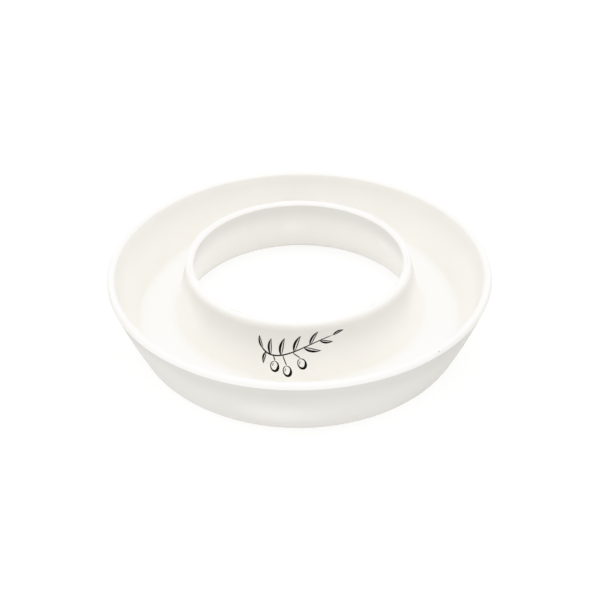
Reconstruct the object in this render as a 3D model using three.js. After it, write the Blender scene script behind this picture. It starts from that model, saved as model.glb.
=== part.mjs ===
// Ring-shaped olive dish: a shallow glazed trough that runs round an open centre.
// One closed solid, in millimetres, +Z up, centred on the table at (0, 0, 0).
// Its cross-section is one closed outline of rounded corners, turned about the Z axis.

import * as THREE from 'three';

// Driving dimensions

const RIM_DIAMETER = 220; // over the outer rim
const DISH_HEIGHT = 40.5; // table to the top of the outer rim
const OUTER_WALL = 3.9; // thickness of the outer wall
const UPPER_LEAN = 13.5; // degrees that the outer wall leans out under its rim
const LOWER_LEAN = 18.6; // degrees that it leans out above its foot
const WALL_CURVE = 240; // radius of the gentle bow between the two leans

const COLLAR_DIAMETER = 131.6; // over the rim of the collar round the centre hole
const COLLAR_HEIGHT = 39.5; // table to the top of the collar
const COLLAR_WALL = 4.6; // thickness of the collar
const COLLAR_LEAN = -17.2; // degrees, negative because the collar leans in as it rises

const FLOOR_THICKNESS = 5; // table to the floor of the trough
const OUTER_FILLET = 5; // floor to outer wall
const COLLAR_FILLET = 7; // floor to collar

const FOOT_ROUND = 2.5; // outside corner at the table
const HOLE_ROUND = 1.5; // corner of the centre hole at the table
const OUTER_FOOT_WIDTH = 7; // flat ring under the outer wall
const COLLAR_FOOT_WIDTH = 6.5; // flat ring under the collar
const RECESS_DEPTH = 1.2; // hollow of the underside between the two foot rings
const RECESS_SLOPE = 1; // how far each side of that hollow runs inwards

const GLAZE_COLOUR = 0xf3f0e8;
const GLAZE_ROUGHNESS = 0.25;

// Facets

const RING_STEPS = 96; // round the dish
const RIM_STEPS = 4; // each half of a rounded rim
const FILLET_STEPS = 4; // each inside corner of the trough
const FOOT_STEPS = 2; // each corner at the table, and the bow of the outer wall

const radians = THREE.MathUtils.degToRad;

/**
 * A wall with parallel faces and a fully round rim.
 * face(side, z, lean) is the radius of its outward (+1) or inward (-1) face at height z.
 */
function leaningWall(rimRadius, rimTop, thickness) {
  const half = thickness / 2;
  const centre = new THREE.Vector2(rimRadius - half, rimTop - half);
  const face = (side, z, lean) => {
    const tilt = radians(lean);
    return centre.x + (side * half) / Math.cos(tilt) + (z - centre.y) * Math.tan(tilt);
  };
  return { half, face };
}

/** One corner of the outline: its place, its rounding radius and the number of steps of that arc. */
function corner(r, z, round = 0, steps = 0) {
  return { at: new THREE.Vector2(r, z), round, steps };
}

/**
 * The arc that rounds the corner at `here`, tangent to the lines to `before` and `after`.
 * Its centre lies on the corner's bisector, round / sin(half angle) away from the corner.
 */
function roundedCorner(before, here, after) {
  if (here.steps === 0) return [here.at];
  const back = before.at.clone().sub(here.at).normalize();
  const onward = after.at.clone().sub(here.at).normalize();
  const halfAngle = Math.acos(back.dot(onward)) / 2;
  const bisector = back.clone().add(onward).normalize();
  const centre = here.at.clone().addScaledVector(bisector, here.round / Math.sin(halfAngle));
  const tangent = here.round / Math.tan(halfAngle);
  const spoke = here.at.clone().addScaledVector(back, tangent).sub(centre);
  const turn = (Math.PI - 2 * halfAngle) * Math.sign(onward.cross(back));
  return Array.from({ length: here.steps + 1 }, (_, i) =>
    spoke.clone().rotateAround(new THREE.Vector2(), (turn * i) / here.steps).add(centre),
  );
}

/** The closed outline through a ring of corners, its last point equal to its first. */
function outlineThrough(corners) {
  const count = corners.length;
  const points = corners.flatMap((here, i) =>
    roundedCorner(corners[(i + count - 1) % count], here, corners[(i + 1) % count]),
  );
  return [...points, points[0].clone()];
}

/** The dish's cross-section, from its outer foot up over the outer rim, across the trough and down the hole. */
function dishOutline() {
  const outer = leaningWall(RIM_DIAMETER / 2, DISH_HEIGHT, OUTER_WALL);
  const collar = leaningWall(COLLAR_DIAMETER / 2, COLLAR_HEIGHT, COLLAR_WALL);

  // The outer wall changes its lean half way up. Both of its faces do so at that height.
  const bend = DISH_HEIGHT / 2;
  const outerAt = (side, z) => z >= bend
    ? outer.face(side, z, UPPER_LEAN)
    : outer.face(side, bend, UPPER_LEAN) - (bend - z) * Math.tan(radians(LOWER_LEAN));
  const collarAt = (side, z) => collar.face(side, z, COLLAR_LEAN);

  const outerFootEdge = outerAt(1, 0) - OUTER_FOOT_WIDTH;
  const collarFootEdge = collarAt(-1, 0) + COLLAR_FOOT_WIDTH;

  return outlineThrough([
    corner(outerAt(1, 0), 0, FOOT_ROUND, FOOT_STEPS),
    corner(outerAt(1, bend), bend, WALL_CURVE, FOOT_STEPS),
    corner(outerAt(1, DISH_HEIGHT), DISH_HEIGHT, outer.half, RIM_STEPS),
    corner(outerAt(-1, DISH_HEIGHT), DISH_HEIGHT, outer.half, RIM_STEPS),
    corner(outerAt(-1, bend), bend, WALL_CURVE, FOOT_STEPS),
    corner(outerAt(-1, FLOOR_THICKNESS), FLOOR_THICKNESS, OUTER_FILLET, FILLET_STEPS),
    corner(collarAt(1, FLOOR_THICKNESS), FLOOR_THICKNESS, COLLAR_FILLET, FILLET_STEPS),
    corner(collarAt(1, COLLAR_HEIGHT), COLLAR_HEIGHT, collar.half, RIM_STEPS),
    corner(collarAt(-1, COLLAR_HEIGHT), COLLAR_HEIGHT, collar.half, RIM_STEPS),
    corner(collarAt(-1, 0), 0, HOLE_ROUND, FOOT_STEPS),
    corner(collarFootEdge, 0),
    corner(collarFootEdge + RECESS_SLOPE, RECESS_DEPTH),
    corner(outerFootEdge - RECESS_SLOPE, RECESS_DEPTH),
    corner(outerFootEdge, 0),
  ]);
}

/** A closed outline of (radius, height) points turned about the Z axis. */
function turned(outline) {
  const geometry = new THREE.LatheGeometry(outline, RING_STEPS);
  geometry.rotateX(Math.PI / 2);
  return geometry;
}

function ringDish() {
  const glaze = new THREE.MeshStandardMaterial({
    color: GLAZE_COLOUR,
    roughness: GLAZE_ROUGHNESS,
    metalness: 0,
  });
  const mesh = new THREE.Mesh(turned(dishOutline()), glaze);
  mesh.name = 'ring_dish';
  return mesh;
}

const oliveDish = new THREE.Group();
oliveDish.add(ringDish());

export default oliveDish;
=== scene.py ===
# %% [markdown]
# # Glazing a ring dish
#
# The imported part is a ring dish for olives: a shallow trough that runs round an open centre, in one
# piece of stoneware. Its solid already has the true form and size. This lesson gives it the looks of
# the finished dish: one smooth surface with the small unevenness of handwork, a warm white glaze, and
# a pen drawing of an olive sprig on the front of the collar.
#
# The solid is loaded first and never moved. It stands on z = 0, its axis is the Z axis, and its front
# is towards -Y. Blender works in metres. The sizes below are in millimetres, as a potter gives them,
# and `MM` turns them into metres in one place.

# %% Load the solid
import math

import bpy
import numpy as np
from mathutils import Matrix, Vector


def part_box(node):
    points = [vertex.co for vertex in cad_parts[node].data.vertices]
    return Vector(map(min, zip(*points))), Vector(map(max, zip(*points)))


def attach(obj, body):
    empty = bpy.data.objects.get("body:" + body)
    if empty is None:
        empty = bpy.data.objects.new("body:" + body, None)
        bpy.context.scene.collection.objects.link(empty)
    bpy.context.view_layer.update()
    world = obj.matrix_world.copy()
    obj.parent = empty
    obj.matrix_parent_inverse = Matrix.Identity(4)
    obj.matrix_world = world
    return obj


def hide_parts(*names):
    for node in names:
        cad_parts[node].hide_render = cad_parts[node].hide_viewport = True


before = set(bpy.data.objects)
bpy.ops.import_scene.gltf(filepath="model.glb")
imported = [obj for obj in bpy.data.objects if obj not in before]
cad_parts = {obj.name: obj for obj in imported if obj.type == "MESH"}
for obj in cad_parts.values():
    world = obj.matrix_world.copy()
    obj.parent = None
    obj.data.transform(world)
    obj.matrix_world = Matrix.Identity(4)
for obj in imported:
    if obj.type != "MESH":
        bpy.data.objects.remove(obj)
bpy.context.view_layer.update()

MM = 0.001
_, highest_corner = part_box("ring_dish")
RIM_RADIUS = highest_corner.x / MM
DISH_HEIGHT = highest_corner.z / MM
print(f"the dish is {2 * RIM_RADIUS:.1f} mm across and {DISH_HEIGHT:.1f} mm high")

# %% [markdown]
# ## The potter's outline
#
# A turned dish is one closed outline carried round an axis. Blender could do that with a Screw modifier
# on a drawn curve, but the drawing on the collar has to find the same surface later, so here the outline
# is plain numbers that any piece can ask for.
#
# A point of the outline is one complex number: its real part is the distance from the axis and its
# imaginary part is the height. Turning, scaling and measuring angles are then one multiplication or one
# call of `np.angle`, for a whole array of points at once.

# %% Sizes of the outline
OUTER_WALL = 3.9
UPPER_LEAN = 13.5
LOWER_LEAN = 18.6
WALL_CURVE = 240.0

COLLAR_RIM_RADIUS = 65.8
COLLAR_HEIGHT = 39.5
COLLAR_WALL = 4.6
COLLAR_LEAN = -17.2

FLOOR_THICKNESS = 5.0
OUTER_FILLET = 5.0
COLLAR_FILLET = 7.0
FOOT_ROUND = 2.5
HOLE_ROUND = 1.5
OUTER_FOOT_WIDTH = 7.0
COLLAR_FOOT_WIDTH = 6.5
RECESS_DEPTH = 1.2
RECESS_SLOPE = 1.0
FOOT_EDGE = 0.4

LIP = 0.8
LIP_DEPTH = 7.0
LIP_BOW = 40.0
LIP_ROUND = 2.6


def slope(lean):
    """How far a wall moves out for each unit that it rises: the tangent of its lean in degrees."""
    return math.tan(math.radians(lean))


def wall_face(rim_radius, rim_top, thickness, side, height, lean):
    """Radius of a leaning wall's outer (side +1) or inner (side -1) face at a height.

    The round of the rim has its middle half a thickness in from the rim's widest point and half a
    thickness down from its top. A face passes that middle half a thickness away, measured square to the
    wall, which is half a thickness over the cosine of the lean when it is measured level.
    """
    half = thickness / 2
    beside = side * half / math.cos(math.radians(lean))
    return rim_radius - half + beside + (height - rim_top + half) * slope(lean)


def outer_face(side, height):
    """The outer wall: the upper lean above half height, and below it a line on at the lower lean."""
    bend = DISH_HEIGHT / 2
    above = wall_face(RIM_RADIUS, DISH_HEIGHT, OUTER_WALL, side, np.maximum(height, bend), UPPER_LEAN)
    return above - np.maximum(bend - height, 0) * slope(LOWER_LEAN)


def collar_face(side, height):
    """The collar: one straight lean, inwards as it rises."""
    return wall_face(COLLAR_RIM_RADIUS, COLLAR_HEIGHT, COLLAR_WALL, side, height, COLLAR_LEAN)


# %% [markdown]
# ## Rounding every corner
#
# Clay has no sharp corner: a wet finger rounds the rims, and the glaze softens what is left. So the
# outline is a ring of corners, each with the radius that rounds it. The rims are rounded by very nearly
# half the wall. That makes them full rounds, and the hair's breadth that is left between two arcs keeps
# their points apart. The belly of the outer wall is a corner with a radius of 240 mm, a bow too gentle
# to see as a corner. On the trough's side the outer wall swells into a soft lip just under its rim,
# which a mould leaves there and which a glaze thickens.
#
# A long flat stretch gets points of its own as well, so that the surface can be a little uneven there.

# %% Corners, arcs and steps
LARGEST_TURN = math.radians(6)
LARGEST_STEP = 2.0
NEARLY_FULL = 0.999


def unit(vectors):
    return vectors / np.abs(vectors)


def counted(groups):
    """0, 1, 2 and so on within each group, one group after the other."""
    return np.arange(groups.sum()) - np.repeat(np.cumsum(groups) - groups, groups)


def rounded(corners, radii):
    """A closed outline whose corners are arcs of the given radii.

    The arc at a corner turns by the angle between the way in and the way out. Half the corner's own
    angle is what is left of a straight angle, halved. The arc starts at radius / tan(half) before the
    corner, and its middle lies on the bisector, radius / sin(half) from the corner. It has as many steps
    as keep both its turn and its length at each of them small.
    """
    back = unit(np.roll(corners, 1) - corners)
    onward = unit(np.roll(corners, -1) - corners)
    turn = np.angle(-onward / back)
    half = (np.pi - np.abs(turn)) / 2
    middle = corners + unit(back + onward) * radii / np.sin(half)
    spoke = corners + back * radii / np.tan(half) - middle
    longest = np.maximum(1 / LARGEST_TURN, radii / LARGEST_STEP)
    steps = np.ceil(np.abs(turn) * longest).astype(int)
    share = counted(steps + 1) / np.repeat(steps, steps + 1)
    middle, spoke, turn = (np.repeat(values, steps + 1) for values in (middle, spoke, turn))
    return middle + spoke * np.exp(1j * turn * share)


def filled(outline):
    """The same closed outline, each long stretch divided into steps that are shorter near its ends.

    A stretch has its length over LARGEST_STEP steps. A point's share of the way is half of 1 less the
    cosine of its part of half a turn, so the glaze can change quickly where a wall meets its rim.
    """
    stretch = np.roll(outline, -1) - outline
    steps = np.ceil(np.abs(stretch) / LARGEST_STEP).astype(int)
    share = (1 - np.cos(np.pi * counted(steps) / np.repeat(steps, steps))) / 2
    return np.repeat(outline, steps) + np.repeat(stretch, steps) * share


def outward(outline):
    """Unit vectors square to the outline. It runs with the clay on its left, so outward is to its right."""
    return unit(np.roll(outline, -1) - np.roll(outline, 1)) * -1j


OUTER_FOOT = outer_face(1, 0)
OUTER_FOOT_EDGE = OUTER_FOOT - OUTER_FOOT_WIDTH
COLLAR_FOOT = collar_face(-1, 0)
COLLAR_FOOT_EDGE = COLLAR_FOOT + COLLAR_FOOT_WIDTH
BEND = DISH_HEIGHT / 2
OUTER_HALF = NEARLY_FULL * OUTER_WALL / 2
COLLAR_HALF = NEARLY_FULL * COLLAR_WALL / 2
LIP_START = DISH_HEIGHT - LIP_DEPTH
OUTER_FILLET_CORNER = outer_face(-1, FLOOR_THICKNESS) + 1j * FLOOR_THICKNESS
COLLAR_FILLET_CORNER = collar_face(1, FLOOR_THICKNESS) + 1j * FLOOR_THICKNESS

corners_and_radii = (
    (OUTER_FOOT, FOOT_ROUND),
    (outer_face(1, BEND) + 1j * BEND, WALL_CURVE),
    (outer_face(1, DISH_HEIGHT) + 1j * DISH_HEIGHT, OUTER_HALF),
    (outer_face(-1, DISH_HEIGHT) - LIP + 1j * DISH_HEIGHT, LIP_ROUND),
    (outer_face(-1, LIP_START) + 1j * LIP_START, LIP_BOW),
    (outer_face(-1, BEND) + 1j * BEND, WALL_CURVE),
    (OUTER_FILLET_CORNER, OUTER_FILLET),
    (COLLAR_FILLET_CORNER, COLLAR_FILLET),
    (collar_face(1, COLLAR_HEIGHT) + 1j * COLLAR_HEIGHT, COLLAR_HALF),
    (collar_face(-1, COLLAR_HEIGHT) + 1j * COLLAR_HEIGHT, COLLAR_HALF),
    (COLLAR_FOOT, HOLE_ROUND),
    (COLLAR_FOOT_EDGE, FOOT_EDGE),
    (COLLAR_FOOT_EDGE + RECESS_SLOPE + 1j * RECESS_DEPTH, FOOT_EDGE),
    (OUTER_FOOT_EDGE - RECESS_SLOPE + 1j * RECESS_DEPTH, FOOT_EDGE),
    (OUTER_FOOT_EDGE, FOOT_EDGE),
)
corners, radii = np.array(corners_and_radii, complex).T
outline = filled(rounded(corners, radii.real))
print(f"the outline has {len(outline)} points, {np.abs(np.diff(outline)).max():.2f} mm apart at most")

# %% [markdown]
# ## A hand at work
#
# A perfect ring looks like plastic. Here the collar leans a little off centre, as if it sank in the kiln,
# the rims are up to two tenths of a millimetre out of round, and the glazed walls wave gently, which is
# what bends a reflection. Noise textures could move the points, but a few sine waves that close after one
# turn leave no seam, and they are the same each time.
#
# All of it fades to nothing at the table, because the dish was ground flat to stand firmly.

# %% The handmade surface
COLLAR_DRIFT = -0.54 + 1.23j
DRIFT_FROM, DRIFT_TO = 92.0, 78.0
OUT_OF_ROUND = ((2, 0.10, 0.4), (3, 0.06, 2.1), (5, 0.03, 4.0))
RIM_DIPS = ((2, 0.06, 1.3), (3, 0.05, 5.2))
WAVES = ((9, 0.14, 0.045, 0.3), (16, -0.21, 0.028, 2.6), (27, 0.33, 0.014, 4.4))
FLAT_BELOW = 6.0


def smooth_share(value, start, end):
    """0 at start and 1 at end, eased at both: three times the square less twice the cube of the share."""
    share = np.clip((value - start) / (end - start), 0, 1)
    return share * share * (3 - 2 * share)


def lobes(turn, rows):
    """A sum of waves round the dish. Each row holds how many, how high in millimetres, and from where."""
    return sum(size * np.sin(count * turn + begin) for count, size, begin in rows)


def on_dish(points, out, turn, lift=0.0):
    """Places in metres, at points of the outline carried round by turn and lifted off the surface.

    The turned ring is radius * cos(turn), radius * sin(turn), height. Before it turns, each point moves
    along its outward direction by the waves and the lift, and its radius and height by the ring's lobes.
    After it turns, the collar's points drift sideways, the more the higher they are.
    """
    raised = smooth_share(points.imag, 0, FLAT_BELOW)
    share_of_height = points.imag / DISH_HEIGHT
    wave = sum(
        size * np.sin(count * turn + climb * points.imag + begin) for count, climb, size, begin in WAVES
    )
    moved = points + out * (wave * raised + lift)
    radius = moved.real + lobes(turn, OUT_OF_ROUND) * share_of_height
    height = moved.imag + lobes(turn, RIM_DIPS) * share_of_height ** 2
    drift = COLLAR_DRIFT * smooth_share(points.real, DRIFT_FROM, DRIFT_TO) * points.imag / COLLAR_HEIGHT
    level = radius * np.exp(1j * turn) + drift
    return np.stack([level.real, level.imag, height], axis=-1) * MM


# %% [markdown]
# ## From a grid of points to a mesh
#
# Every piece here is a grid of points that closes on itself, so one helper can join it: each point is
# joined to the next one along and the next one across. The mesh is filled from whole arrays, which is
# quick, and its volume is measured from its own faces. A positive volume proves that the faces point out.

# %% Mesh helpers
CM3_IN_M3 = 1e6


def joined_quads(rows, columns, rows_close):
    """Corner numbers of the quads of a grid whose columns close, and whose rows close if told so."""
    row = np.arange(rows if rows_close else rows - 1)[:, None]
    column = np.arange(columns)
    beside = (column + 1) % columns
    this, next_row = row * columns, (row + 1) % rows * columns
    quads = (this + column, this + beside, next_row + beside, next_row + column)
    return np.stack(quads, axis=-1).reshape(-1, 4)


def volume_of(mesh):
    """Cubic centimetres inside: each triangle and the origin make a pyramid, and their volumes add up."""
    mesh.calc_loop_triangles()
    corner_numbers = np.zeros(len(mesh.loop_triangles) * 3, int)
    mesh.loop_triangles.foreach_get("vertices", corner_numbers)
    places = np.zeros(len(mesh.vertices) * 3)
    mesh.vertices.foreach_get("co", places)
    first, second, third = places.reshape(-1, 3)[corner_numbers.reshape(-1, 3)].transpose(1, 0, 2)
    return (first * np.cross(second, third)).sum() / 6 * CM3_IN_M3


def smooth_piece(name, places, faces):
    """A smooth-shaded object at the origin, its places in its mesh."""
    mesh = bpy.data.meshes.new(name)
    mesh.from_pydata(places.reshape(-1, 3), [], faces)
    mesh.polygons.foreach_set("use_smooth", np.ones(len(mesh.polygons), bool))
    mesh.update()
    piece = bpy.data.objects.new(name, mesh)
    bpy.context.scene.collection.objects.link(piece)
    print(f"{name}: {len(mesh.polygons)} faces, {volume_of(mesh):.3f} cubic centimetres")
    return piece


# %% [markdown]
# ## The dish
#
# The body of the dish is the outline carried round in 320 steps. Its faces are all there is to it, so
# whatever else belongs to the surface has to be stored on them, as the next step does.

# %% Turn the dish
RING_STEPS = 320

turns = np.linspace(0, 2 * np.pi, RING_STEPS, endpoint=False)
dish_places = on_dish(outline[:, None], outward(outline)[:, None], turns)
dish = smooth_piece("dish", dish_places, joined_quads(len(outline), RING_STEPS, rows_close=True).tolist())

# %% [markdown]
# ## Glaze and painted shade
#
# The trough has the glaze's full coat and its own colour. Elsewhere, shade is painted into the glaze as if
# it were thinner there. The outside and the wall of the hole are darker all over, a band under each rim
# is darker, and the outside is darker still at two places on its sides. This painted shade ends on a
# level line just under each rim, so the rims keep the glaze's own colour. On the trough's side that line
# lies a little lower.
#
# The value is stored on the mesh as an attribute, which a material can read and which follows the
# surface exactly.

# %% Glaze value and painted shade
# Painted shade: one row for each side of the clay, as the function below lists it.
OUTSIDE = (0.52, 0.33, 9.0, DISH_HEIGHT, 1.9, 2.5)
OUTER_WALL_INSIDE = (1.00, 0.06, 9.0, DISH_HEIGHT, 3.0, 8.0)
COLLAR = (1.00, 0.32, 12.0, COLLAR_HEIGHT, 2.2, 3.4)
HOLE = (0.80, 0.36, 9.0, COLLAR_HEIGHT, 1.2, 2.5)
RIM_SHADE_HEIGHT = 35.0
# Painted shade on two sides of the outside: the middle of each and its reach, in degrees.
SIDE_SHADES = ((335.0, 33.0), (202.0, 25.0))
SIDE_SHADE_DEPTH, SIDE_SHADE_ON_RIM = 0.65, 0.40
SIDE_SHADE_BLEND = 1.0


def direction(degrees):
    return np.exp(1j * np.radians(degrees))


def side_shade_at(turn):
    """How much painted shade the two shaded sides of the outside get: for each, e to the power of minus
    the square of the angle to its middle over its reach, both in degrees."""
    from_middle = [np.degrees(np.angle(np.exp(1j * turn) / direction(at))) / reach for at, reach in SIDE_SHADES]
    return np.exp(-np.square(from_middle)).sum(axis=0)


def glaze_and_painted_shade(points, turn):
    """Each side's glaze value less its painted shade, with the rim's own value near the top.

    A side's row holds its value, the share of it that painted shade takes away in a band under the rim and
    how far up and down that band reaches. It then holds the height of its rim, how deep under it the rim
    has its whole value again, and how deep that change ends. The band shrinks with e to the power of minus
    the square of the height above or below the band's middle height over the reach. The middle of a wall
    divides its two sides, and across the trough the collar's row goes over into the outer wall's. The
    painted shade on the two sides counts outside the middle of the outer wall, fades within a blend width
    of it, and takes away less on the rims.
    """
    outside = points.real > outer_face(0, points.imag)
    in_hole = points.real < collar_face(0, points.imag)
    across = smooth_share(points.real, COLLAR_FILLET_CORNER.real, OUTER_FILLET_CORNER.real)
    outside_row, wall_row, collar_row, hole_row = (
        np.array(row)[:, None] for row in (OUTSIDE, OUTER_WALL_INSIDE, COLLAR, HOLE)
    )
    in_trough = collar_row + (wall_row - collar_row) * across
    row = np.where(outside, outside_row, np.where(in_hole, hole_row, in_trough))
    coat, rim_shade, reach, rim, whole, gone = row
    rim_shaded = coat * (1 - rim_shade * np.exp(-(((points.imag - RIM_SHADE_HEIGHT) / reach) ** 2)))
    beyond_middle = points.real - outer_face(0, points.imag)
    side_shade = smooth_share(beyond_middle, -SIDE_SHADE_BLEND, SIDE_SHADE_BLEND)[:, None] * side_shade_at(turn)
    first = rim_shaded[:, None] * (1 - SIDE_SHADE_DEPTH * side_shade)
    second = 1 - SIDE_SHADE_ON_RIM * side_shade
    return first + (second - first) * smooth_share(rim - points.imag, gone, whole)[:, None]


# Its values run from 0, the darkest painted shade, to 1, the glaze's own colour.
thickness = glaze_and_painted_shade(outline, turns)
dish.data.attributes.new("glaze_and_painted_shade", "FLOAT", "POINT").data.foreach_set("value", thickness.ravel())
print(f"the glaze is {thickness.min():.2f} to {thickness.max():.2f} of a full coat")

# %% [markdown]
# ## Wiring a material
#
# A material is a small machine of nodes. Wiring it by hand takes many lines that all look alike, so two
# helpers say it once: `add_node` makes a node and fills or wires its inputs, and `soft_spot` answers how
# near a point is to a named place, from 0 outside the spot to 1 in its middle. Patterns read Object
# coordinates, so they stay on the clay wherever the dish or the camera goes.

# %% Node helpers
def add_node(tree, kind, wired=None, **settings):
    """A new shader node. `wired` gives its inputs, each a plain value or another node's output."""
    node = tree.nodes.new("ShaderNode" + kind)
    for name, value in settings.items():
        setattr(node, name, value)
    for socket, value in (wired or {}).items():
        if isinstance(value, bpy.types.NodeSocket):
            tree.links.new(value, node.inputs[socket])
        else:
            node.inputs[socket].default_value = value
    return node


def computed(tree, operation, first, second=0.0):
    """The output of a Math node."""
    return add_node(tree, "Math", {0: first, 1: second}, operation=operation).outputs["Value"]


def eased(tree, value, start, end):
    """0 where value is at start and 1 where it is at end, eased at both."""
    wired = {"Value": value, "From Min": start, "From Max": end}
    return add_node(tree, "MapRange", wired, interpolation_type="SMOOTHSTEP").outputs["Result"]


def mixed_colour(tree, share, first, second):
    """A colour between two, by a share from 0 to 1. A Mix node has sockets for several kinds of value
    that share their names, so those for colours are found by their numbers."""
    factor, colour_a, colour_b, colour_out = 0, 6, 7, 2
    wired = {factor: share, colour_a: first, colour_b: second}
    return add_node(tree, "Mix", wired, data_type="RGBA").outputs[colour_out]


def noise(tree, place, scale, detail=2.0):
    """A soft random value round 0.5. The scale is patches for each metre."""
    wired = {"Vector": place, "Scale": scale, "Detail": detail}
    return add_node(tree, "TexNoise", wired).outputs["Fac"]


def soft_spot(tree, place, middle, reach, core=0.0):
    """1 within the core share of a spot and 0 beyond its reach, which may differ along X, Y and Z."""
    from_middle = add_node(tree, "VectorMath", {0: place, 1: middle}, operation="SUBTRACT").outputs[0]
    in_reaches = add_node(tree, "VectorMath", {0: from_middle, 1: reach}, operation="DIVIDE").outputs[0]
    distance = add_node(tree, "VectorMath", {0: in_reaches}, operation="LENGTH").outputs["Value"]
    return eased(tree, distance, 1.0, core)


def new_material(name):
    """An empty node tree with its coordinates, its main shader and its name."""
    material = bpy.data.materials.new(name)
    material.use_nodes = True
    tree = material.node_tree
    place = tree.nodes.new("ShaderNodeTexCoord").outputs["Object"]
    return material, tree, place, tree.nodes["Principled BSDF"]


# %% [markdown]
# ## The glaze
#
# The glaze is a warm white, glassy skin over buff clay. Its full coat is a creamy white, and where it is
# thin the clay darkens it. Its colour is mixed between the two by the value that the mesh carries. That
# value is mostly painted shade, with faint clouds in it where the dipping was uneven. A few wide spots of
# painted light are added: three outside on the front of the dish, two on the wall of the hole and one at
# each end of the collar. Gloss follows the same value, and is matt where it is low, as a thin glaze that
# soaks into the clay would be.
#
# Two specks of iron have burnt through on the front rim, one of them so faintly that it only reddens the
# glaze. The foot rings were wiped clean before the firing, so the bare biscuit shows there. It is one
# material with a mask, because glaze and biscuit meet along a line that wanders a little, which separate
# faces can't follow.

# %% Glaze over clay
# The first colour stands for thin glaze and for painted shade, the second for the glaze's own full colour.
THIN_AND_SHADED_GLAZE = (0.506, 0.495, 0.460, 1)
FULL_GLAZE = (0.905, 0.888, 0.854, 1)
IRON = (0.16, 0.07, 0.04, 1)
BISCUIT = (0.66, 0.59, 0.49, 1)

CLOUDS_PER_METRE = 26.0
CLOUD_STRENGTH = 0.10
# Painted light: wide spots that lift the glaze towards its own full colour where it should look brighter.
PAINTED_LIGHT_SPOTS = (
    ((-12.0, -103.7, 15.0), (36.0, 12.0, 14.0), 0.17),
    ((-4.6, 67.4, 18.0), (13.0, 8.0, 9.0), 0.08),
    ((54.7, 35.7, 22.0), (9.0, 10.0, 8.0), 0.08),
    ((-65.0, -26.0, 26.0), (32.0, 32.0, 18.0), 0.20),
    ((70.0, -12.0, 25.0), (32.0, 32.0, 18.0), 0.20),
    ((-74.0, -74.0, 30.0), (40.0, 40.0, 11.0), 0.12),
    ((91.0, -54.0, 34.0), (32.0, 32.0, 7.0), 0.16),
)
IRON_SPECKS = (
    ((66.4, -86.6, 40.3), (0.75, 0.75, 0.75), 0.85),
    ((11.5, -109.3, 39.4), (1.5, 1.5, 1.5), 0.05),
)
GLOSS, GLOSS_UNEVENNESS, GLOSS_PATCHES_PER_METRE = 0.31, 0.06, 45.0
THIN_ROUGHNESS, BISCUIT_ROUGHNESS = 0.60, 0.85
GLAZE_IOR = 1.5
ORANGE_PEEL_PER_METRE = 620.0
PEEL_STRENGTH, PEEL_DEPTH = 0.05, 0.3 * MM
GLAZE_LINE, WHOLLY_BARE = 0.35 * MM, 0.6
WANDERINGS_PER_METRE = 120.0


def all_spots(tree, place, spots):
    """The sum of several soft spots. Each row holds its middle and reach in millimetres and its strength."""
    total = 0.0
    for middle, reach, strength in spots:
        spot = soft_spot(tree, place, Vector(middle) * MM, Vector(reach) * MM)
        total = computed(tree, "ADD", computed(tree, "MULTIPLY", spot, strength), total)
    return total


def glaze_colour(tree, place, thickness):
    """From the dark tone to the glaze's own colour, by the value with its painted shade, the clouds and the
    painted light spots.
    """
    cloud = computed(tree, "SUBTRACT", noise(tree, place, CLOUDS_PER_METRE), 0.5)
    cloudy = computed(tree, "ADD", thickness, computed(tree, "MULTIPLY", cloud, CLOUD_STRENGTH))
    spot_lit = computed(tree, "ADD", cloudy, all_spots(tree, place, PAINTED_LIGHT_SPOTS))
    return mixed_colour(tree, spot_lit, THIN_AND_SHADED_GLAZE, FULL_GLAZE)


def glaze_roughness(tree, place, thickness):
    """Rough where the value is low, where glaze is thin and shade is painted, and glossy where it is full,
    with a slight patchiness.
    """
    change = computed(tree, "MULTIPLY", thickness, GLOSS - THIN_ROUGHNESS)
    patches = computed(tree, "SUBTRACT", noise(tree, place, GLOSS_PATCHES_PER_METRE), 0.5)
    patchy = computed(tree, "ADD", computed(tree, "MULTIPLY", patches, GLOSS_UNEVENNESS), THIN_ROUGHNESS)
    return computed(tree, "ADD", change, patchy)


def bare_foot(tree, place):
    """1 on the foot rings, which were wiped free of glaze up to a line that wanders a little. The glaze
    sets in above the share WHOLLY_BARE of that line's height."""
    height = add_node(tree, "SeparateXYZ", {0: place}).outputs["Z"]
    uneven = computed(tree, "SUBTRACT", noise(tree, place, WANDERINGS_PER_METRE), 0.5)
    wandering = computed(tree, "ADD", height, computed(tree, "MULTIPLY", uneven, GLAZE_LINE))
    return eased(tree, wandering, GLAZE_LINE, GLAZE_LINE * WHOLLY_BARE)


def glazed_clay():
    material, tree, place, shader = new_material("glaze")
    bare = bare_foot(tree, place)
    # The glaze value with its painted shade, as the mesh carries it.
    thickness = add_node(tree, "Attribute", attribute_name="glaze_and_painted_shade").outputs["Fac"]
    glaze = glaze_colour(tree, place, thickness)
    speckled = mixed_colour(tree, all_spots(tree, place, IRON_SPECKS), glaze, IRON)
    colour = mixed_colour(tree, bare, speckled, BISCUIT)
    biscuit = computed(tree, "MULTIPLY", bare, BISCUIT_ROUGHNESS)
    roughness = computed(tree, "MAXIMUM", glaze_roughness(tree, place, thickness), biscuit)
    peel = noise(tree, place, ORANGE_PEEL_PER_METRE, 1.0)
    bump = add_node(tree, "Bump", {"Strength": PEEL_STRENGTH, "Distance": PEEL_DEPTH, "Height": peel})
    tree.links.new(colour, shader.inputs["Base Color"])
    tree.links.new(roughness, shader.inputs["Roughness"])
    tree.links.new(bump.outputs["Normal"], shader.inputs["Normal"])
    shader.inputs["IOR"].default_value = GLAZE_IOR
    return material


dish.data.materials.append(glazed_clay())
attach(dish, "root")
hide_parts("ring_dish")
print(f"the glaze is wired from {len(dish.data.materials[0].node_tree.nodes)} nodes")

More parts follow.
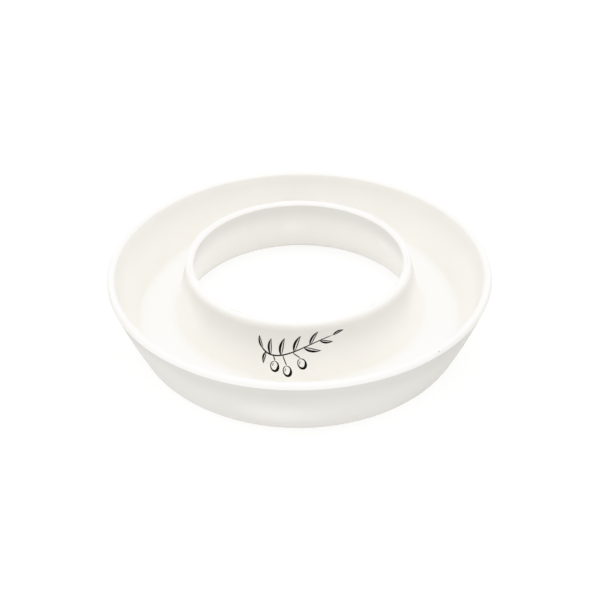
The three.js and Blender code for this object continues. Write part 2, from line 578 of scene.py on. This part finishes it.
# %% [markdown]
# ## A pen and its strokes
#
# The drawing was put on the glaze in black and fired, so it lies on it as a thin raised skin. It could
# be painted by a texture, but strokes with real edges stay sharp however near the camera comes. Each
# stroke is a soft-topped ribbon: a path, and a width for each point of it, which grows and shrinks as a
# pen is pressed.
#
# The drawing is made flat, again in complex numbers. The real part is the way round the collar to the
# right, the imaginary part is the way up its face, and 0 is the middle of the front, where the straight
# of the face begins.

# %% Paths and pen pressure
STATIONS = 40
BEYOND_TIP = -0.004

travel = np.linspace(0, 1, STATIONS)


def sweep(start, towards, away, end, share=travel):
    """A cubic curve: it leaves start towards the second point and arrives at end from the third."""
    left = 1 - share
    return left**3 * start + 3 * left**2 * share * towards + 3 * left * share**2 * away + share**3 * end


def pressed(width, swell=0.6):
    """Widths that are nothing at both ends: the sine of half a turn, raised to a power below 1."""
    return width * np.sin(np.pi * travel) ** swell


def tapered(width, share):
    """An even width that shrinks within a share of the stroke at each end. It would be nothing at
    BEYOND_TIP, so a little of it is left at the tip itself."""
    return width * smooth_share(np.minimum(travel, 1 - travel), BEYOND_TIP, share)


def heading(path):
    return unit(np.gradient(path))


# %% [markdown]
# ## One leaf and one olive
#
# An olive leaf is slender, widest before its middle and pointed at both ends. The pen fills the half
# that turns from the light and leaves a hairline between it and the midrib. The other half is only
# outlined. An olive is an oval whose outline swells on its shaded side, with a short stalk and one
# curve inside, where the light catches it.
#
# Lengths and the widths of lines are in millimetres, and so are `STALK_TOP` and what `MIDRIB_AT_BASE`
# and `SKIN_IN_SHADE` add to a line. `SHADED_SIDE` is in degrees, `OLIVE_TURNS` counts whole turns, and
# `GLINT_START` and `GLINT_TURN` count half turns. The others are shares and powers.

# %% Leaf and olive
LEAF_SHARE, LEAF_FULLNESS, LEAF_PEAK = 0.115, 0.85, 0.8
HAIRLINE = 0.28
LIT_EDGE, LIT_EDGE_AT = 0.55, 0.92
MIDRIB, MIDRIB_AT_BASE = 0.3, 0.12
LEAF_LINE_SWELL = 0.5

OLIVE_LENGTH, OLIVE_WIDTH, OLIVE_TURNS = 6.2, 4.6, 1.03
SHADED_SIDE = -50.0
SKIN, SKIN_IN_SHADE, SKIN_INSET, SKIN_TAPER = 0.5, 1.0, 0.35, 0.08
STALK, STALK_SWELL, STALK_FALL, STALK_TOP = 0.6, 0.3, 0.3, 1.2
GLINT, GLINT_START, GLINT_TURN, GLINT_ACROSS, GLINT_ALONG = 0.42, 0.60, 0.42, 0.25, 0.28


def leaf(base, degrees, length, bend):
    """Three strokes of a leaf. The midrib is a parabola from base, bent by a share of its length.

    Its blade is a share of the length times the sine of half a turn, over a travel that is raised to
    LEAF_PEAK, a power below 1, which moves the widest place towards the base. LEAF_FULLNESS is a power
    of that sine, and below 1 it makes the leaf fuller near its ends.
    """
    rib = base + direction(degrees) * length * (travel + 4j * bend * travel * (1 - travel))
    across = 1j * heading(rib) * np.sign(bend)
    blade = LEAF_SHARE * length * np.sin(np.pi * travel**LEAF_PEAK) ** LEAF_FULLNESS
    gap = HAIRLINE * np.sin(np.pi * travel)
    shaded_half = (rib + across * (blade + gap / 2) / 2, np.maximum(blade - gap / 2, 0))
    lit_edge = (rib - across * blade * LIT_EDGE_AT, pressed(LIT_EDGE, LEAF_LINE_SWELL))
    midrib = (rib, pressed(MIDRIB, LEAF_LINE_SWELL) + MIDRIB_AT_BASE * (1 - travel))
    return [shaded_half, lit_edge, midrib]


def olive(hung_from, middle, tilt):
    """Three strokes of an olive: its oval, its stalk and the curve inside.

    The oval is half the width times the cosine and half the length times the sine of a turn that starts
    at the stalk and goes on a little past it, so that the line closes. Its pen width is SKIN, and up to
    SKIN_IN_SHADE more, by the square of how far it faces the shaded side.
    """
    axis = direction(tilt)
    around = 2 * np.pi * OLIVE_TURNS * travel + np.pi / 2
    spoke = axis * (OLIVE_WIDTH / 2 * np.cos(around) + 0.5j * OLIVE_LENGTH * np.sin(around))
    facing = 0.5 + 0.5 * np.cos(np.angle(spoke) - math.radians(SHADED_SIDE))
    width = SKIN + SKIN_IN_SHADE * facing**2
    skin = (middle + spoke - unit(spoke) * width * SKIN_INSET, width * tapered(1.0, SKIN_TAPER))
    top = middle + axis * 0.5j * OLIVE_LENGTH
    falling = hung_from - 1j * STALK_FALL * abs(hung_from - top)
    stalk = (sweep(hung_from, falling, top + 1j * STALK_TOP, top), pressed(STALK, STALK_SWELL))
    turn = np.pi * (GLINT_START + GLINT_TURN * travel)
    glint_across = GLINT_ACROSS * OLIVE_WIDTH * np.cos(turn)
    glint_along = GLINT_ALONG * OLIVE_LENGTH * np.sin(turn)
    glint = (middle + axis * (glint_across + 1j * glint_along), pressed(GLINT))
    return [skin, stalk, glint]


# %% [markdown]
# ## The sprig
#
# The stem is one sweep across the front of the collar. Five leaves stand along its upper side like a
# fan, three lie below it and one ends it, and three olives hang where the stem is lowest. A leaf's row
# holds how far along the stem it stands, where it points, its length and the side that it bends to. An
# olive's row holds where its stalk leaves the stem, where its middle hangs from there, and its tilt.

# %% Compose the sprig
STEM = (-20 + 17j, -13 + 6j, 1 + 20j, 18 + 23j)
STEM_WIDTH, STEM_THINNING, STEM_TAPER = 0.95, 0.5, 0.06
LEAVES = (
    (0.04, 102, 7.2, 1),
    (0.20, 86, 9.0, 1),
    (0.37, 77, 9.8, 1),
    (0.55, 67, 9.4, 1),
    (0.74, 57, 8.2, 1),
    (0.11, -104, 7.0, -1),
    (0.67, -14, 9.2, -1),
    (0.85, -12, 7.2, -1),
    (0.99, 16, 6.2, 1),
)
OLIVES = ((0.25, 0.4 - 6.2j, -4), (0.40, 2.0 - 9.0j, 8), (0.54, 4.4 - 6.6j, 18))
LEAF_BEND = 0.085


def stem_at(share):
    return sweep(*STEM, share=share)


strokes = [(sweep(*STEM), (STEM_WIDTH - STEM_THINNING * travel) * tapered(1.0, STEM_TAPER))]
for along, degrees, length, side in LEAVES:
    strokes += leaf(stem_at(along), degrees, length, side * LEAF_BEND)
for along, hang, tilt in OLIVES:
    strokes += olive(stem_at(along), stem_at(along) + hang, tilt)
print(f"the sprig has {len(strokes)} strokes")

# %% [markdown]
# ## Laying the strokes on the collar
#
# A stroke becomes a closed tube with a flat oval section, eight points round, most of it above the
# glaze and a little below it, so that no light gets under its edge. Each point then goes where the flat
# drawing says: round the collar by its real part over the radius there, and up the straight of the face
# by its imaginary part. The places come from `on_dish`, so the ink follows every wave of the glaze.

# %% Make the ink
AROUND = 8
INK_RISE, INK_SINK = 0.05, 0.04
LEAST_WIDTH = 0.02
FRONT = -np.pi / 2
FILLET_REACH = 5.2

face_bottom = COLLAR_FILLET_CORNER
face_top = collar_face(1, COLLAR_HEIGHT) + 1j * COLLAR_HEIGHT
up_face = unit(face_top - face_bottom)
straight_from = FILLET_REACH * up_face + face_bottom


def on_collar(drawn, lift):
    """Places in metres of points drawn flat, lifted off the trough side of the collar."""
    points = straight_from + up_face * drawn.imag
    return on_dish(points, up_face * -1j, FRONT + drawn.real / points.real, lift)


def ink_tubes(strokes):
    """A closed tube for each stroke: its path, moved across by half its width times the cosine of the
    way round the section and lifted by the rise or the sink times the sine."""
    paths = np.array([path for path, _ in strokes])
    widths = np.maximum([width for _, width in strokes], LEAST_WIDTH)
    across = 1j * unit(np.gradient(paths, axis=1))
    section = np.arange(AROUND) * 2 * np.pi / AROUND
    drawn = paths[..., None] + across[..., None] * widths[..., None] / 2 * np.cos(section)
    lift = np.sin(section) * np.where(np.sin(section) > 0, INK_RISE, INK_SINK)
    return on_collar(drawn, np.broadcast_to(lift, drawn.shape))


def tube_faces(count):
    """Quads along each tube and one face over each of its ends."""
    firsts = np.arange(count)[:, None, None] * STATIONS * AROUND
    quads = (joined_quads(STATIONS, AROUND, rows_close=False) + firsts).reshape(-1, 4)
    ring = np.arange(AROUND)
    starts = firsts[:, 0] + ring[::-1]
    ends = firsts[:, 0] + (STATIONS - 1) * AROUND + ring
    return quads.tolist() + starts.tolist() + ends.tolist()


sprig = smooth_piece("sprig", ink_tubes(strokes), tube_faces(len(strokes)))

# %% [markdown]
# ## Black ceramic ink
#
# Fired ink is matter than the glaze round it and mirrors less of the room, so it stays black in a white
# tent. It is never quite even: it thins where the pen ran dry, and a little warmth comes through. A faint
# mottle in colour and gloss is enough at this size.

# %% Ink material
DENSE_INK = (0.001, 0.001, 0.001, 1)
THIN_INK = (0.008, 0.006, 0.005, 1)
INK_ROUGHNESS, INK_UNEVENNESS = 0.45, 0.15
INK_MIRRORING = 0.08
MOTTLE_PER_METRE, MOTTLE_DETAIL = 900.0, 3.0


def fired_ink():
    material, tree, place, shader = new_material("print")
    mottle = noise(tree, place, MOTTLE_PER_METRE, MOTTLE_DETAIL)
    roughness = computed(tree, "ADD", computed(tree, "MULTIPLY", mottle, INK_UNEVENNESS), INK_ROUGHNESS)
    tree.links.new(mixed_colour(tree, mottle, DENSE_INK, THIN_INK), shader.inputs["Base Color"])
    tree.links.new(roughness, shader.inputs["Roughness"])
    shader.inputs["Specular IOR Level"].default_value = INK_MIRRORING
    return material


sprig.data.materials.append(fired_ink())
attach(sprig, "root")

# %% [markdown]
# ## The table
#
# The dish stands on a plain white table, wide enough to fill the view. It is matt, so that it shows no
# reflection of the lamps. Like a light table it glows, and this glow is painted light. It glows softly
# round the dish and a little more at its foot, where it paints out the dish's shadow on the table and
# fills the shade under the walls. It glows again far away, where the lamps hardly reach.
#
# A row of `GLOWS` is a round spot in the middle of the table: its reach in metres, the share of it that
# is even, and its strength. The first takes the far glow away near the dish. The last takes back a
# little from the middle out to the trough, so that the table in the centre hole is not too bright.

# %% Table
TABLE_HALF = 4.0
TABLE_WHITE = (0.9, 0.9, 0.9, 1)
TABLE_ROUGHNESS = 0.9
FAR_GLOW = 0.24
GLOWS = ((0.30, 0.5, -FAR_GLOW), (0.22, 0.5, 0.24), (0.118, 0.84, 0.11), (0.088, 0.85, -0.10))

edges = np.array([(-1, -1, 0), (1, -1, 0), (1, 1, 0), (-1, 1, 0)]) * TABLE_HALF
table_mesh = bpy.data.meshes.new("table")
table_mesh.from_pydata(edges, [], [(0, 1, 2, 3)])
table = bpy.data.objects.new("table", table_mesh)
bpy.context.scene.collection.objects.link(table)
white, white_tree, table_place, table_shader = new_material("white_table")
# Painted light on the table: its emission hides the dish's shadow round the foot.
glow = FAR_GLOW
for reach, core, strength in GLOWS:
    spot = soft_spot(white_tree, table_place, (0, 0, 0), (reach, reach, reach), core)
    glow = computed(white_tree, "ADD", computed(white_tree, "MULTIPLY", spot, strength), glow)
white_tree.links.new(glow, table_shader.inputs["Emission Strength"])
table_shader.inputs["Emission Color"].default_value = (1, 1, 1, 1)
table_shader.inputs["Base Color"].default_value = TABLE_WHITE
table_shader.inputs["Roughness"].default_value = TABLE_ROUGHNESS
table_shader.inputs["Specular IOR Level"].default_value = 0.0
table_mesh.materials.append(white)

# %% [markdown]
# ## The camera
#
# The dish is seen from the front and above, from less than two of its own widths away, which is near
# enough for its far side to look clearly smaller. The camera stands on an arc round the middle of the
# dish and looks a little past it. It is tipped first, about its own view, then raised, then swung.

# %% Camera
CAMERA_AWAY = 3.6 * RIM_RADIUS * MM
CAMERA_UP = math.radians(37.854)
LOOK_DOWN = math.radians(37.177)
SWING = math.radians(-0.040)
TIP = math.radians(-0.411)
SENSOR = 36.0
LENS = 38.08

camera_data = bpy.data.cameras.new("camera")
camera_data.sensor_width = SENSOR
camera_data.lens = LENS
camera = bpy.data.objects.new("camera", camera_data)
camera.matrix_world = (
    Matrix.Translation((0, -CAMERA_AWAY * math.cos(CAMERA_UP), CAMERA_AWAY * math.sin(CAMERA_UP)))
    @ Matrix.Rotation(SWING, 4, "Z")
    @ Matrix.Rotation(math.pi / 2 - LOOK_DOWN, 4, "X")
    @ Matrix.Rotation(TIP, 4, "Z")
)
bpy.context.scene.collection.objects.link(camera)
bpy.context.scene.camera = camera
print(f"the camera stands {CAMERA_AWAY:.3f} m from the middle of the dish")

# %% [markdown]
# ## Soft studio light
#
# A glazed dish shows the room it stands in. In a studio that is a white tent, so that no reflection is
# hard. The world is the tent, one wide panel overhead brightens the floor of the trough, and a smaller
# one on each side shapes the walls. The table throws much of their light back up under the walls.

# %% Lamps and world
AIM = Vector((0, 0, 0.02))
LAMPS = (
    ("overhead", (0, 0, 1.2), (1.4, 1.4), 7.1),
    ("left", (-1.0, 0, 1.0), (0.8, 0.8), 1.9),
    ("right", (1.0, 0, 1.0), (0.8, 0.8), 1.7),
)
TENT_LIGHT = 0.78


def softbox(name, place, size, watts):
    """A rectangular panel that faces the dish."""
    lamp = bpy.data.lights.new(name, "AREA")
    lamp.shape = "RECTANGLE"
    lamp.size, lamp.size_y = size
    lamp.energy = watts
    panel = bpy.data.objects.new(name, lamp)
    panel.location = place
    panel.rotation_euler = (AIM - Vector(place)).to_track_quat("-Z", "Y").to_euler()
    bpy.context.scene.collection.objects.link(panel)


for name, place, size, watts in LAMPS:
    softbox(name, place, size, watts)

world = bpy.data.worlds.new("tent")
bpy.context.scene.world = world
world.use_nodes = True
world.node_tree.nodes["Background"].inputs["Color"].default_value = (1, 1, 1, 1)
world.node_tree.nodes["Background"].inputs["Strength"].default_value = TENT_LIGHT
print(f"{len(LAMPS)} panels of {sum(lamp[3] for lamp in LAMPS):.1f} W in all")

# %% [markdown]
# ## Keeping the whites apart
#
# A white dish on a white ground is mostly highlights, and a plain picture would cut them all off at full
# white. A camera presses them together instead. So the tones are left as they are up to SHOULDER, and
# from there a curve runs ever more gently up to full white, which it reaches at WHITE_POINT.

# %% Tone curve
COMBINED_CURVE = 3
SHOULDER = 0.92
WHITE_POINT = 1.12
PRESSED_TONES = ((0.99, 0.958), (1.06, 0.977))

view = bpy.context.scene.view_settings
view.view_transform = "Standard"
view.use_curve_mapping = True
view.curve_mapping.white_level = (WHITE_POINT, WHITE_POINT, WHITE_POINT)
tones = view.curve_mapping.curves[COMBINED_CURVE].points
tones[0].handle_type = "VECTOR"
tones.new(SHOULDER / WHITE_POINT, SHOULDER).handle_type = "VECTOR"
for light, tone in PRESSED_TONES:
    tones.new(light / WHITE_POINT, tone)
view.curve_mapping.update()
print(f"the tone curve has {len(tones)} points")
